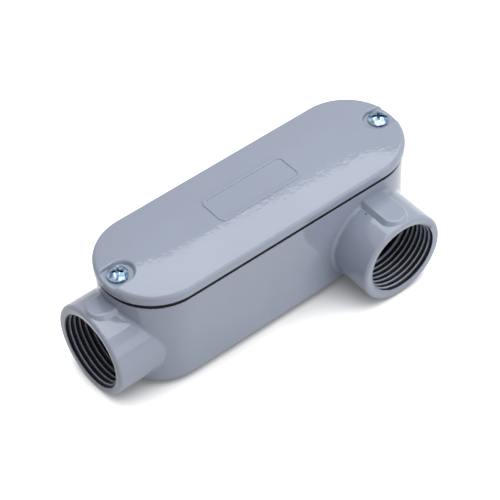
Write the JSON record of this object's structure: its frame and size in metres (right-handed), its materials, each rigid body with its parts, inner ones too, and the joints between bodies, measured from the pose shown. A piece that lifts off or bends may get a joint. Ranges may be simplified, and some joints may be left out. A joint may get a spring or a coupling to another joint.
{
  "type": "conduit body",
  "caption": "Cast metal conduit body: an obround tub with a threaded hub at its end and one at its side, under a gasketed, screwed cover that opens for pulling wires round the corner.",
  "frame": {"origin": "centre of the tub's flat back, in the plane of that back", "axes": "+X along the tub, away from the end hub, which opens towards -X; the side hub opens towards -Y near the +X end; +Z from the back up through the cover"},
  "size_m": [0.1473, 0.0626, 0.0515],
  "materials": {
    "body_paint": "glossy light grey powder coat with fine orange peel on cast aluminium",
    "cover_paint": "glossy light grey powder coat with fine orange peel on cast aluminium",
    "gasket_rubber": "matt black sheet rubber",
    "zinc_screw": "bright zinc-plated steel"
  },
  "bodies": {
    "root": {"body_casting": "body_paint", "cover_plate": "cover_paint", "cover_gasket": "gasket_rubber", "cover_screw_end_hub": "zinc_screw", "cover_screw_far_end": "zinc_screw"}
  },
  "joints": []
}
